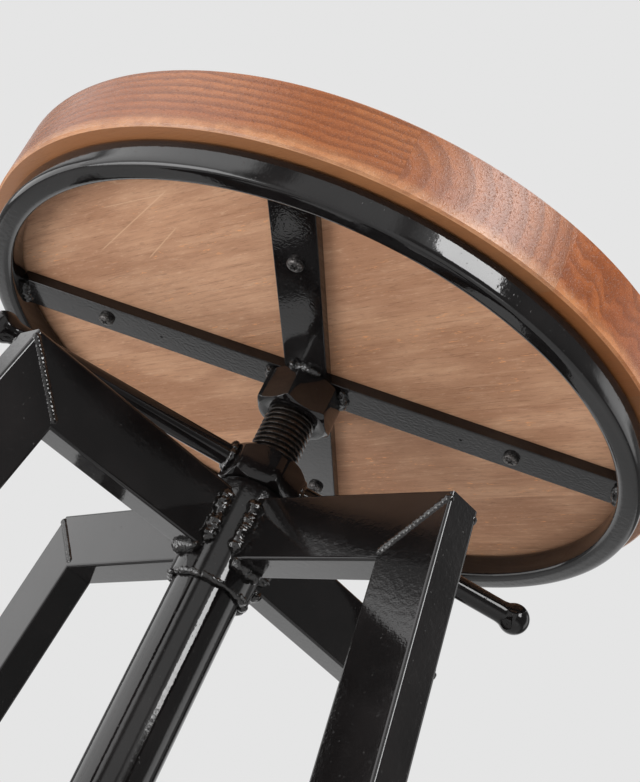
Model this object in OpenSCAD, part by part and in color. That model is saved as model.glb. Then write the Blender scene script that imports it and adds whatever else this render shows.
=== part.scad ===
// Adjustable swivel stool: a round wooden seat on a lead screw, which rises as the seat is turned.
// A lock nut with a two-armed lever clamps the screw on top of a column with four welded legs.
// Millimetres, +Z up, origin on the floor under the column's axis, legs along X and Y.

/* [Seat] */
// Diameter of the wooden seat
seat_d = 320; // [312:1:400]
// Thickness of the wooden seat
seat_t = 30; // [20:1:40]
// Height of the seat's underside above the floor, as shown
seat_bottom = 590; // [570:1:660]
// Width of the bevel that eases the seat's edges
seat_edge = 1; // [0.5:0.25:5]
// Turn of the seat frame about the column, from the first leg
seat_turn = 41; // [0:1:90]
// Turn of the boards' joints, from the first leg
board_turn = 2; // [-20:1:20]

/* [Seat frame] */
// Outer diameter of the steel ring under the seat
ring_d = 307; // [290:1:310]
// Width of the ring's section
ring_w = 11; // [8:0.5:16]
// Height of the ring's section
ring_h = 13.6; // [8:0.1:18]
// Width of the cross bars
bar_w = 20; // [16:1:25]
// Thickness of the cross bars
bar_t = 5; // [4:0.5:6]
// Distance of each wood screw from the centre
wood_screw_r = 95; // [60:1:125]

/* [Screw and lock nut] */
// Outer diameter of the lead screw
screw_d = 22; // [18:1:22]
// Width across the flats of the hub nut and the lock nut
nut_af = 32; // [30:1:34]
// Height of the lock nut
lock_nut_h = 16.5; // [14:0.5:18]
// Turn of the lever about the column, from the first leg
lever_turn = 65; // [0:1:90]
// Distance from the axis to the centre of each lever ball
lever_r = 127; // [90:1:135]
// Diameter of the lever rods
lever_d = 10; // [8:0.5:12]
// Diameter of the lever balls
ball_d = 14; // [13:0.5:20]
// How far the seat can rise from the height shown
travel_up = 180; // [60:4:200]

/* [Column and legs] */
// Outer diameter of the column
column_d = 30; // [30:1:34]
// Height of the rectangular tube's section
tube_h = 30; // [25:1:34]
// Width of the rectangular tube's section
tube_w = 15.5; // [12:0.5:18]
// Wall of the rectangular tube
tube_wall = 1.2; // [1:0.1:1.6]
// Distance from the axis to the outer corner of each elbow
elbow_r = 127; // [110:1:140]
// How far each arm droops below level, in degrees
arm_droop = 1.4; // [0:0.1:4]
// How far each leg leans outwards, in degrees
leg_lean = 9.8; // [6:0.1:14]
// Height of the footrest's centre line above the floor
footrest_z = 185; // [150:1:220]
// Diameter of the footrest's round bar
footrest_d = 12; // [10:1:16]

/* [Hidden] */

$fn = 96;
board_count = 5;
board_w = seat_d / board_count;
board_gap = 0.04;
steel_black = "#1a1a1c";
wood_tones = ["#a4653f", "#9c5c37", "#ab6d46", "#a0613b", "#a66840"];
far = 400;

// Gap between surfaces that touch, and the small overlap of cutting tools
slip = 0.02;
cut = 1;

// Seat frame; the third wood screw sits a little further out than the others
ring_corner = 1;
ring_in_r = ring_d / 2 - ring_w;
bar_corner = 0.5;
frame_z = seat_bottom - bar_t;
pin_hole_d = 1.4;
pin_hole_r = 72;
wood_screw_d = 4;
wood_screw_len = 20;
wood_screw_shifts = [0, 0, 5, 0];
wood_screw_head_d = 7.2;
wood_screw_head_h = 2.4;
wood_screw_head_edge = 1;
pilot_d = 4.1;
pilot_depth = 16.5;
bar_hole_d = 4.5;
hub_h = 17.5;
hub_z = frame_z - hub_h;
hub_turn = seat_turn - 5;
hub_chamfer = 1.6;
weld_r = 3.5;
ring_weld_len = bar_w - 4;
hub_weld_len = nut_af / 2;

// Screw, lock nut and lever
run_fit = 0.06;
gap = 0.3;
lock_nut_top = seat_bottom - 46;
lock_nut_z = lock_nut_top - lock_nut_h;
lock_nut_turn = lever_turn + 9;
lock_nut_chamfer = 2.2;
lever_z = lock_nut_top - 6.5;
rod_end_r = lever_r - sqrt(pow(ball_d / 2, 2) - pow(lever_d / 2, 2));
rod_sink = 2;
rod_weld = 3.4;
rod_weld_sink = 1.5;

// Column
insert_top = lock_nut_z - gap;
insert_flange_d = column_d - 1;
insert_flange_h = 3;
insert_len = 27;
column_top = insert_top - insert_flange_h;
column_wall = 2;
column_in_r = column_d / 2 - column_wall;
insert_end = column_top - insert_len;
collar_r = column_d / 2 + 3;
collar_drop = 0.5;
collar_top = column_top - collar_drop;
collar_h = 44;
collar_z = collar_top - collar_h;
collar_weld_r = 3.2;

// Lower end of the lead screw
journal_d = 14;
bush_h = 16;
stop_gap = 0.5;
bush_top = insert_end - travel_up - stop_gap;
washer_d = 24;
washer_t = 2;
washer_hole_d = 8.4;
journal_end = bush_top - bush_h - 2 * gap;
end_bolt_d = 8;
end_bolt_head_h = 5.3;
end_bolt_head_af = 13;
end_bolt_grip = 16;
end_bolt_hole = 18;
travel_down = hub_z - lock_nut_top;
column_spare = 8;
column_end = journal_end - washer_t - end_bolt_head_h - travel_down - column_spare;
plug_rim = 2;
plug_depth = 6;

// Arms and legs
tube_corner = 1.4;
tube_inner_corner = 0.2;
arm_top_z = seat_bottom - 69.3;
elbow_z = arm_top_z - elbow_r * tan(arm_droop);
leg_turns = [0, 90, 180, 270];
// The mitre halves the angle between the arm and the leg, both seen from the elbow's outer corner
mitre_x = -cos(arm_droop) + sin(leg_lean);
mitre_z = sin(arm_droop) - cos(leg_lean);
mitre_angle = atan2(mitre_z, mitre_x);
mitre_len = tube_h / sin(mitre_angle + 180 + arm_droop);
foot_pad_t = 3;
foot_plug_len = 14;
foot_lip = 0.8;
arm_weld_h = tube_h - 4;
arm_weld_drop = tube_h - 5;
arm_weld_out = 0.6;
elbow_weld_w = 3.6;
elbow_weld_h = 0.9;
footrest_weld_d = 7;
footrest_weld_len = tube_w - 3;
footrest_weld_rise = 5;
footrest_weld_out = 2;
footrest_contact_r = elbow_r + (elbow_z - footrest_z) * tan(leg_lean) - tube_h / cos(leg_lean);
footrest_r = footrest_contact_r - footrest_d / 2 / cos(leg_lean);

// A rectangle with rounded corners, about the origin
module rounded_rect(w, h, r) {
    square([w - 2 * r, h], center = true);
    square([w, h - 2 * r], center = true);
    for (x = [-1, 1], y = [-1, 1])
        translate([x * (w / 2 - r), y * (h / 2 - r)])
            circle(r = r, $fn = 32);
}

// A hexagonal prism with flats facing +X and -X, its ends chamfered as a turned nut's are
module hex_prism(af, h, chamfer) {
    margin = 0.2;
    corner_r = af / 2 / cos(30);
    face_r = af / 2 - margin;
    blank_r = corner_r + margin;
    intersection() {
        rotate(30)
            cylinder(r = corner_r, h = h, $fn = 6);
        rotate_extrude()
            polygon([[0, 0], [face_r, 0], [blank_r, chamfer], [blank_r, h - chamfer], [face_r, h], [0, h]]);
    }
}

// Seat

// The whole slab, with its edges eased
module seat_slab() {
    r = seat_d / 2;
    translate([0, 0, seat_bottom])
        rotate_extrude($fn = 180)
            polygon([[0, 0], [r - seat_edge, 0], [r, seat_edge],
                     [r, seat_t - seat_edge], [r - seat_edge, seat_t], [0, seat_t]]);
}

// One of the boards that are glued edge to edge, with the wood screws' pilot holes
module board(index) {
    y = -seat_d / 2 + index * board_w;
    color(wood_tones[index])
        difference() {
            intersection() {
                seat_slab();
                rotate(board_turn)
                    translate([-far / 2, y + board_gap / 2, seat_bottom - cut])
                        cube([far, board_w - board_gap, seat_t + 2 * cut]);
            }
            at_wood_screws()
                translate([0, 0, seat_bottom - cut])
                    cylinder(d = pilot_d, h = cut + pilot_depth, $fn = 32);
        }
}
module board_1() { board(0); }
module board_2() { board(1); }
module board_3() { board(2); }
module board_4() { board(3); }
module board_5() { board(4); }

// Places its children at the four wood screws
module at_wood_screws() {
    for (i = [0:3])
        rotate(seat_turn + 90 * i)
            translate([wood_screw_r + wood_screw_shifts[i], 0, 0])
                children();
}

module wood_screws() {
    head_z = frame_z - wood_screw_head_h;
    color("#2a2a2c")
        at_wood_screws()
            union() {
                translate([0, 0, head_z + wood_screw_head_edge])
                    cylinder(d = wood_screw_head_d, h = wood_screw_head_h - wood_screw_head_edge);
                translate([0, 0, head_z])
                    cylinder(d1 = wood_screw_head_d - 2 * wood_screw_head_edge, d2 = wood_screw_head_d,
                             h = wood_screw_head_edge);
                translate([0, 0, frame_z])
                    cylinder(d = wood_screw_d, h = wood_screw_len);
            }
}

// Seat frame

module seat_ring() {
    color(steel_black)
        translate([0, 0, seat_bottom - ring_h / 2])
            rotate_extrude($fn = 180)
                translate([ring_in_r + ring_w / 2, 0])
                    rounded_rect(ring_w, ring_h, ring_corner);
}

// A flat bar along +X between two distances from the centre, coped to the ring at its outer end
module flat_bar(from_r, to_r) {
    intersection() {
        translate([from_r, 0, frame_z + bar_t / 2])
            rotate([90, 0, 90])
                linear_extrude(to_r - from_r)
                    rounded_rect(bar_w, bar_t, bar_corner);
        cylinder(r = ring_in_r - slip, h = seat_bottom + cut, $fn = 180);
    }
}

module screw_holes() {
    at_wood_screws()
        translate([0, 0, frame_z - cut])
            cylinder(d = bar_hole_d, h = bar_t + 2 * cut, $fn = 32);
}

module long_bar() {
    color(steel_black)
        difference() {
            rotate(seat_turn)
                flat_bar(-ring_in_r - cut, ring_in_r + cut);
            screw_holes();
            rotate(seat_turn)
                for (s = [-1, 1])
                    translate([s * pin_hole_r, 0, frame_z - cut])
                        cylinder(d = pin_hole_d, h = bar_t + 2 * cut, $fn = 24);
        }
}

module half_bar(turn) {
    color(steel_black)
        difference() {
            rotate(seat_turn + turn)
                flat_bar(bar_w / 2 + slip, ring_in_r + cut);
            screw_holes();
        }
}
module half_bar_a() { half_bar(90); }
module half_bar_b() { half_bar(-90); }

module hub_nut() {
    color(steel_black)
        difference() {
            translate([0, 0, hub_z])
                rotate(hub_turn)
                    hex_prism(nut_af, hub_h, hub_chamfer);
            translate([0, 0, hub_z - cut])
                cylinder(d = screw_d + 2 * slip, h = hub_h + 2 * cut);
        }
}

// Beads where the bars meet the ring, and where they meet the hub nut
module seat_frame_welds() {
    color("#232326")
        for (a = leg_turns)
            rotate(seat_turn + a) {
                difference() {
                    translate([ring_in_r, 0, frame_z])
                        rotate([90, 0, 0])
                            cylinder(r = weld_r, h = ring_weld_len, center = true, $fn = 32);
                    translate([0, 0, frame_z])
                        cylinder(r = far, h = far);
                    difference() {
                        translate([0, 0, frame_z - tube_h])
                            cylinder(r = far, h = 2 * tube_h);
                        translate([0, 0, frame_z - tube_h - cut])
                            cylinder(r = ring_in_r - slip, h = 2 * tube_h + 2 * cut, $fn = 180);
                    }
                }
                difference() {
                    translate([nut_af / 2, 0, frame_z])
                        rotate([90, 0, 0])
                            cylinder(r = weld_r, h = hub_weld_len, center = true, $fn = 32);
                    translate([0, 0, frame_z])
                        cylinder(r = far, h = far);
                    rotate(hub_turn - seat_turn - a)
                        translate([0, 0, hub_z])
                            hex_prism(nut_af, hub_h, hub_chamfer);
                }
            }
}

// Lead screw

module lead_screw() {
    chamfer = 1.5;
    top_z = frame_z - gap;
    shoulder_z = bush_top + gap;
    color("#202022")
        difference() {
            union() {
                translate([0, 0, shoulder_z + chamfer])
                    cylinder(d = screw_d, h = top_z - shoulder_z - chamfer);
                translate([0, 0, shoulder_z])
                    cylinder(d1 = screw_d - 2 * chamfer, d2 = screw_d, h = chamfer);
                translate([0, 0, journal_end])
                    cylinder(d = journal_d, h = shoulder_z - journal_end);
            }
            translate([0, 0, journal_end - cut])
                cylinder(d = end_bolt_d, h = end_bolt_hole + cut);
        }
}

module end_washer() {
    color("silver")
        translate([0, 0, journal_end - washer_t])
            difference() {
                cylinder(d = washer_d, h = washer_t);
                translate([0, 0, -cut])
                    cylinder(d = washer_hole_d, h = washer_t + 2 * cut);
            }
}

module end_bolt() {
    head_z = journal_end - washer_t - end_bolt_head_h;
    head_chamfer = 0.8;
    color("silver")
        union() {
            translate([0, 0, head_z])
                hex_prism(end_bolt_head_af, end_bolt_head_h, head_chamfer);
            translate([0, 0, head_z + cut])
                cylinder(d = end_bolt_d - 2 * slip, h = end_bolt_head_h - cut + washer_t + end_bolt_grip);
        }
}

// Nylon bush that centres the screw's lower end in the column
module guide_bush() {
    color("ivory")
        translate([0, 0, bush_top - bush_h])
            difference() {
                cylinder(r = column_in_r - run_fit, h = bush_h);
                translate([0, 0, -cut])
                    cylinder(d = journal_d + 2 * run_fit, h = bush_h + 2 * cut);
            }
}

// Lock nut and lever

module lock_nut_body() {
    translate([0, 0, lock_nut_z])
        rotate(lock_nut_turn)
            hex_prism(nut_af, lock_nut_h, lock_nut_chamfer);
}

module lock_nut() {
    color(steel_black)
        difference() {
            lock_nut_body();
            translate([0, 0, lock_nut_z - cut])
                cylinder(d = screw_d + 2 * run_fit, h = lock_nut_h + 2 * cut);
        }
}

// Puts its children on one side's lever axis, with +Z pointing outwards
module on_lever(side) {
    translate([0, 0, lever_z])
        rotate([0, 90, lever_turn + side * 180])
            children();
}

module lever_rod(side) {
    color(steel_black)
        difference() {
            on_lever(side)
                translate([0, 0, nut_af / 2 - rod_sink])
                    cylinder(d = lever_d, h = rod_end_r - nut_af / 2 + rod_sink, $fn = 48);
            lock_nut_body();
        }
}
module lever_rod_a() { lever_rod(0); }
module lever_rod_b() { lever_rod(1); }

module lever_ball(side) {
    color(steel_black)
        on_lever(side)
            difference() {
                translate([0, 0, lever_r])
                    sphere(d = ball_d, $fn = 64);
                cylinder(r = ball_d, h = rod_end_r);
            }
}
module lever_ball_a() { lever_ball(0); }
module lever_ball_b() { lever_ball(1); }

module lever_welds() {
    color("#232326")
        difference() {
            for (side = [0, 1])
                on_lever(side)
                    translate([0, 0, nut_af / 2 - rod_weld_sink])
                        rotate_extrude($fn = 48)
                            translate([lever_d / 2, 0])
                                intersection() {
                                    circle(r = rod_weld, $fn = 32);
                                    square(rod_weld + cut);
                                }
            lock_nut_body();
        }
}

// Column

module threaded_insert() {
    color(steel_black)
        difference() {
            union() {
                translate([0, 0, column_top])
                    cylinder(d = insert_flange_d, h = insert_flange_h);
                translate([0, 0, insert_end])
                    cylinder(r = column_in_r - slip, h = insert_len);
            }
            translate([0, 0, insert_end - cut])
                cylinder(d = screw_d + 2 * run_fit, h = insert_len + insert_flange_h + 2 * cut);
        }
}

module column_tube() {
    color(steel_black)
        translate([0, 0, column_end])
            difference() {
                cylinder(d = column_d, h = column_top - column_end);
                translate([0, 0, -cut])
                    cylinder(r = column_in_r, h = column_top - column_end + 2 * cut);
            }
}

module collar_sleeve() {
    color(steel_black)
        translate([0, 0, collar_z])
            difference() {
                cylinder(r = collar_r, h = collar_h);
                translate([0, 0, -cut])
                    cylinder(d = column_d + 2 * slip, h = collar_h + 2 * cut);
            }
}

// Ring bead under the collar
module collar_weld() {
    color("#232326")
        translate([0, 0, collar_z])
            rotate_extrude()
                translate([column_d / 2 + slip, 0])
                    intersection() {
                        circle(r = collar_weld_r, $fn = 32);
                        translate([0, -collar_weld_r])
                            square(collar_weld_r);
                    }
}

module column_plug() {
    color("#222222")
        translate([0, 0, column_end - plug_rim]) {
            cylinder(d = column_d, h = plug_rim);
            translate([0, 0, plug_rim])
                cylinder(r = column_in_r - slip, h = plug_depth);
        }
}

// Arms and legs

// The space on one side of the mitre plane of the elbow on +X: side 1 is the leg's, -1 the arm's
module mitre_side(side) {
    translate([elbow_r, 0, elbow_z])
        rotate([0, -mitre_angle, 0])
            translate([-far, -far / 2, side > 0 ? 0 : -far])
                cube([2 * far, far, far]);
}

// The rectangular tube's outline, grown by a margin all round
module tube_outline(margin) {
    rounded_rect(tube_h + 2 * margin, tube_w + 2 * margin, max(tube_inner_corner, tube_corner + margin));
}

// Solid section of the arm on +X, grown by a margin all round
module arm_section(margin) {
    translate([elbow_r, 0, elbow_z])
        rotate([0, arm_droop, 0])
            translate([-elbow_r, 0, -tube_h / 2])
                rotate([0, 90, 0])
                    linear_extrude(elbow_r + tube_h)
                        tube_outline(margin);
}

// Solid section of the leg under the elbow on +X, grown by a margin all round
module leg_section(margin) {
    leg_len = elbow_z / cos(leg_lean) + tube_h;
    translate([elbow_r, 0, elbow_z])
        rotate([0, -leg_lean, 0])
            translate([-tube_h / 2, 0, -leg_len])
                linear_extrude(leg_len + tube_h)
                    tube_outline(margin);
}

module arm(index) {
    color(steel_black)
        rotate(leg_turns[index])
            difference() {
                arm_section(0);
                arm_section(-tube_wall);
                mitre_side(1);
                translate([0, 0, arm_top_z - far / 2])
                    cylinder(r = collar_r + slip, h = far);
            }
}
module arm_a() { arm(0); }
module arm_b() { arm(1); }
module arm_c() { arm(2); }
module arm_d() { arm(3); }

module leg(index) {
    color(steel_black)
        rotate(leg_turns[index])
            difference() {
                leg_section(0);
                leg_section(-tube_wall);
                mitre_side(-1);
                translate([0, 0, foot_pad_t - far])
                    cylinder(r = far, h = far);
            }
}
module leg_a() { leg(0); }
module leg_b() { leg(1); }
module leg_c() { leg(2); }
module leg_d() { leg(3); }

// Upright beads in the corners between the arms' sides and the collar
module arm_welds() {
    corner_x = sqrt(pow(collar_r, 2) - pow(tube_w / 2, 2));
    color("#232326")
        for (a = leg_turns)
            rotate(a)
                difference() {
                    for (s = [-1, 1])
                        translate([corner_x + arm_weld_out, s * tube_w / 2, elbow_z - arm_weld_drop])
                            cylinder(r = weld_r, h = arm_weld_h, $fn = 32);
                    translate([0, 0, collar_z - cut])
                        cylinder(r = collar_r + slip, h = 2 * collar_h);
                    arm_section(slip);
                }
}

// Beads along the mitres, on both sides of each elbow
module elbow_welds() {
    color("#232326")
        for (a = leg_turns, s = [-1, 1])
            rotate(a)
                translate([elbow_r, s * (tube_w / 2 + elbow_weld_h / 2 + slip), elbow_z])
                    rotate([0, -mitre_angle, 0])
                        translate([tube_corner, -elbow_weld_h / 2, -elbow_weld_w / 2])
                            cube([mitre_len - 2 * tube_corner, elbow_weld_h, elbow_weld_w]);
}

// Footrest and feet

module footrest_ring() {
    color(steel_black)
        translate([0, 0, footrest_z])
            rotate_extrude($fn = 180)
                translate([footrest_r, 0])
                    circle(d = footrest_d, $fn = 48);
}

module footrest_welds() {
    color("#232326")
        for (a = leg_turns)
            rotate(a)
                difference() {
                    for (s = [-1, 1])
                        translate([footrest_contact_r - s * footrest_weld_out, 0,
                                   footrest_z + s * footrest_weld_rise])
                            rotate([90, 0, 0])
                                cylinder(d = footrest_weld_d, h = footrest_weld_len, center = true, $fn = 32);
                    leg_section(slip / 2);
                    translate([0, 0, footrest_z])
                        rotate_extrude($fn = 180)
                            translate([footrest_r, 0])
                                circle(d = footrest_d + slip, $fn = 48);
                }
}

// Plastic foot: a pad under the leg and a plug inside it
module foot(index) {
    color("#161616")
        rotate(leg_turns[index])
            difference() {
                union() {
                    intersection() {
                        leg_section(foot_lip);
                        cylinder(r = far, h = foot_pad_t - slip);
                    }
                    intersection() {
                        leg_section(-tube_wall - slip);
                        cylinder(r = far, h = foot_pad_t + foot_plug_len);
                    }
                }
                translate([0, 0, -far])
                    cylinder(r = far, h = far);
            }
}
module foot_a() { foot(0); }
module foot_b() { foot(1); }
module foot_c() { foot(2); }
module foot_d() { foot(3); }

board_1();
board_2();
board_3();
board_4();
board_5();
seat_ring();
long_bar();
half_bar_a();
half_bar_b();
hub_nut();
lead_screw();
wood_screws();
seat_frame_welds();
end_washer();
end_bolt();
guide_bush();
lock_nut();
lever_rod_a();
lever_rod_b();
lever_ball_a();
lever_ball_b();
lever_welds();
threaded_insert();
column_tube();
collar_sleeve();
arm_a();
arm_b();
arm_c();
arm_d();
leg_a();
leg_b();
leg_c();
leg_d();
arm_welds();
collar_weld();
elbow_welds();
footrest_ring();
footrest_welds();
foot_a();
foot_b();
foot_c();
foot_d();
column_plug();
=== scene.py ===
"""The looks of an adjustable swivel stool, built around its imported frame."""

import logging
import math
from dataclasses import dataclass, field
from enum import Enum
from typing import Any, Callable, Iterable, Sequence

import bmesh
import bpy
from mathutils import Matrix, Vector


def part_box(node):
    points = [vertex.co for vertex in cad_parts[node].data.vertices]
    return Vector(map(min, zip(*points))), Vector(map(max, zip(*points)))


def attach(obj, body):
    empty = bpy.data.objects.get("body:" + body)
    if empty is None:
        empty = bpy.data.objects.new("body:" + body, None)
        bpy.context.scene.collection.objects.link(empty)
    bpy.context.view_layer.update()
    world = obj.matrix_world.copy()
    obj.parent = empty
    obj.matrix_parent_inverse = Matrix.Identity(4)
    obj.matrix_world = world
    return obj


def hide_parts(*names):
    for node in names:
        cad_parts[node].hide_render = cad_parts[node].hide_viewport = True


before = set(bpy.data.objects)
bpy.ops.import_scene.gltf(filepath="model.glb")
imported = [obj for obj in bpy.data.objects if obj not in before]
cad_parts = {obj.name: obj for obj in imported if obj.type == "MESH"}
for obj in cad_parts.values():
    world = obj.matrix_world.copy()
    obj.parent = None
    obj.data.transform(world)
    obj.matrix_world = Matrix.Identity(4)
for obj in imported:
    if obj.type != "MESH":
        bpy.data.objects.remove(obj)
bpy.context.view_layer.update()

LOG = logging.getLogger("stool")
MM = 0.001
TURN = 2 * math.pi
QUARTER = math.pi / 2
LEGS = "abcd"
Colour = tuple[float, float, float]
Point = tuple[float, float, float]


# ---------------------------------------------------------------- node graphs


class Graph:
    """A node tree that is built one node at a time."""

    def __init__(self, tree: bpy.types.NodeTree) -> None:
        """Keeps the tree that the nodes go into."""
        self.tree = tree

    def node(
        self,
        kind: str,
        settings: dict[str, Any] | None = None,
        sockets: dict[Any, Any] | None = None,
        out: int | str = 0,
    ) -> "Value":
        """Adds a node.

        Args:
            kind: the node's type.
            settings: the node's own settings, set first.
            sockets: a value or a link for each socket, by name or number.
            out: which output the result stands for.

        Returns:
            The chosen output.
        """
        made = self.tree.nodes.new(kind)
        for key, value in (settings or {}).items():
            setattr(made, key, value)
        for key, value in (sockets or {}).items():
            self.feed(made.inputs[key], value)
        return Value(self, made.outputs[out])

    def feed(self, socket: bpy.types.NodeSocket, value: Any) -> None:
        """Links a value to a socket, or sets the socket to a plain value."""
        if isinstance(value, Value):
            self.tree.links.new(value.socket, socket)
        elif socket.type == "RGBA" and len(value) == 3:
            socket.default_value = (*value, 1.0)
        else:
            socket.default_value = value

    def maths(self, operation: str, *values: Any) -> "Value":
        """A Math node on numbers."""
        return self.node("ShaderNodeMath", {"operation": operation}, dict(enumerate(values)))

    def vector(self, operation: str, *values: Any) -> "Value":
        """A Vector Math node."""
        return self.node("ShaderNodeVectorMath", {"operation": operation}, dict(enumerate(values)))

    def parts(self, place: "Value") -> tuple["Value", "Value", "Value"]:
        """The three numbers of a vector."""
        outputs = self.node("ShaderNodeSeparateXYZ", None, {0: place}).socket.node.outputs
        return tuple(Value(self, outputs[i]) for i in range(3))

    def smooth(self, value: Any, low: float, high: float) -> "Value":
        """Rises smoothly from 0 at low to 1 at high.

        Args:
            value: the number that is compared.
            low: where the rise starts.
            high: where it ends; below low, the result falls instead.

        Returns:
            The step, from 0 to 1.
        """
        flip = high < low
        ends = (high, low) if flip else (low, high)
        step = self.node(
            "ShaderNodeMapRange",
            {"interpolation_type": "SMOOTHSTEP"},
            {"Value": value, "From Min": ends[0], "From Max": ends[1]},
        )
        return 1 - step if flip else step

    def noise(self, place: "Value", size: float, detail: float = 2.0, rough: float = 0.5) -> "Value":
        """Smooth noise about 0.5.

        Args:
            place: the coordinates.
            size: the size of a lump, in the coordinates' unit.
            detail: how many finer layers are added.
            rough: how strong the finer layers are.

        Returns:
            The noise.
        """
        sockets = {"Vector": place, "Scale": 1 / size, "Detail": detail, "Roughness": rough}
        return self.node("ShaderNodeTexNoise", None, sockets)


def operation(kind: str, flipped: bool = False) -> Callable[["Value", Any], "Value"]:
    """Makes an operator of Value.

    Args:
        kind: the Math node's operation.
        flipped: whether the other value comes first.

    Returns:
        The method, which adds one Math node.
    """

    def method(value: "Value", other: Any) -> "Value":
        """The Math node's result."""
        return value.graph.maths(kind, *((other, value) if flipped else (value, other)))

    return method


class Value:
    """An output socket, on which Python's own operators add Math nodes."""

    def __init__(self, graph: Graph, socket: bpy.types.NodeSocket) -> None:
        """Keeps the socket and the graph that it is in."""
        self.graph = graph
        self.socket = socket

    __add__ = __radd__ = operation("ADD")
    __sub__ = operation("SUBTRACT")
    __rsub__ = operation("SUBTRACT", flipped=True)
    __mul__ = __rmul__ = operation("MULTIPLY")
    __truediv__ = operation("DIVIDE")
    __rtruediv__ = operation("DIVIDE", flipped=True)
    __pow__ = operation("POWER")

    def fraction(self) -> "Value":
        """The part after the decimal point."""
        return self.graph.maths("FRACT", self)

    def size(self) -> "Value":
        """The value without its sign."""
        return self.graph.maths("ABSOLUTE", self)


class Shader(Graph):
    """A material's node tree around one Principled BSDF."""

    def __init__(self, name: str) -> None:
        """Makes an empty material of that name."""
        self.material = bpy.data.materials.new(name)
        self.material.use_nodes = True
        super().__init__(self.material.node_tree)
        self.skin = self.tree.nodes["Principled BSDF"]
        where = self.node("ShaderNodeTexCoord", out="Object")
        self.place = self.vector("SCALE", where)
        self.place.socket.node.inputs["Scale"].default_value = 1 / MM

    def mix(self, low: Any, high: Any, share: Any) -> Value:
        """Mixes two colours.

        Args:
            low: the colour at share 0.
            high: the colour at share 1.
            share: how much of high shows.

        Returns:
            The mixed colour.
        """
        settings = {"data_type": "RGBA", "clamp_factor": True}
        return self.node("ShaderNodeMix", settings, {0: share, 6: low, 7: high}, 2)

    def stretch(self, place: Value, scale: Point, turn: float = 0.0, shift: Point = (0, 0, 0)) -> Value:
        """Turns coordinates about Z, then scales them.

        Args:
            place: the coordinates.
            scale: how much finer the pattern gets along each axis.
            turn: the turn about Z, in radians.
            shift: what is added at the end.

        Returns:
            The new coordinates.
        """
        about_z = {"rotation_type": "Z_AXIS"}
        turned = self.node("ShaderNodeVectorRotate", about_z, {"Vector": place, "Angle": -turn})
        scaled = self.vector("MULTIPLY", turned, scale)
        return self.vector("ADD", scaled, shift)

    def radius(self) -> Value:
        """The distance from the stool's axis, in millimetres."""
        x, y, _ = self.parts(self.place)
        return (x * x + y * y) ** 0.5

    def bump(self, height: Value, depth_mm: float) -> Value:
        """A normal from a height from 0 to 1 and its depth in millimetres."""
        sockets = {"Height": height, "Distance": depth_mm * MM, "Strength": 1.0}
        return self.node("ShaderNodeBump", None, sockets)

    def finish(self, **sockets: Any) -> bpy.types.Material:
        """Feeds the shader's sockets, whose names have _ for a space, and returns the material."""
        for key, value in sockets.items():
            name = "IOR" if key == "ior" else key.replace("_", " ").title()
            self.feed(self.skin.inputs[name], value)
        return self.material


class Recipe(Graph):
    """A Geometry Nodes tree with named sizes."""

    def __init__(self, name: str, sizes: dict[str, float], finish: bpy.types.Material) -> None:
        """Makes the tree's sockets.

        Args:
            name: the tree's name.
            sizes: the tree's named inputs.
            finish: the material that Set Material gives.
        """
        super().__init__(bpy.data.node_groups.new(name, "GeometryNodeTree"))
        self.sizes = sizes
        self.finish = finish
        faces = self.tree.interface
        faces.new_socket(name="Geometry", in_out="INPUT", socket_type="NodeSocketGeometry")
        for label in sizes:
            faces.new_socket(name=label, in_out="INPUT", socket_type="NodeSocketFloat")
        faces.new_socket(name="Geometry", in_out="OUTPUT", socket_type="NodeSocketGeometry")
        self.source = self.tree.nodes.new("NodeGroupInput")
        self.sink = self.tree.nodes.new("NodeGroupOutput")

    def given(self, label: str) -> Value:
        """One of the tree's inputs."""
        return Value(self, self.source.outputs[label])

    def close(self, shape: Value) -> None:
        """Ends the tree in Realize Instances and Set Material."""
        real = self.node("GeometryNodeRealizeInstances", None, {0: shape})
        smooth = self.node("GeometryNodeSetShadeSmooth", None, {0: real})
        done = self.node("GeometryNodeSetMaterial", None, {"Geometry": smooth, "Material": self.finish})
        self.feed(self.sink.inputs["Geometry"], done)

    def grow(self, name: str, seedling: bpy.types.Mesh, **sizes: float) -> bpy.types.Object:
        """Runs the tree on a mesh and keeps the result as a plain mesh.

        Args:
            name: the piece's name.
            seedling: what the tree starts from.
            sizes: inputs that differ from the tree's own, with _ for a space.

        Returns:
            The finished piece.
        """
        piece = bpy.data.objects.new(name, seedling)
        bpy.context.scene.collection.objects.link(piece)
        modifier = piece.modifiers.new("recipe", "NODES")
        modifier.node_group = self.tree
        values = self.sizes | {key.replace("_", " ").title(): value for key, value in sizes.items()}
        for item in self.tree.interface.items_tree:
            if item.in_out == "INPUT" and item.name in values:
                modifier[item.identifier] = values[item.name]
        return settle(piece)


# ------------------------------------------------------------------- finishes


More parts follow.
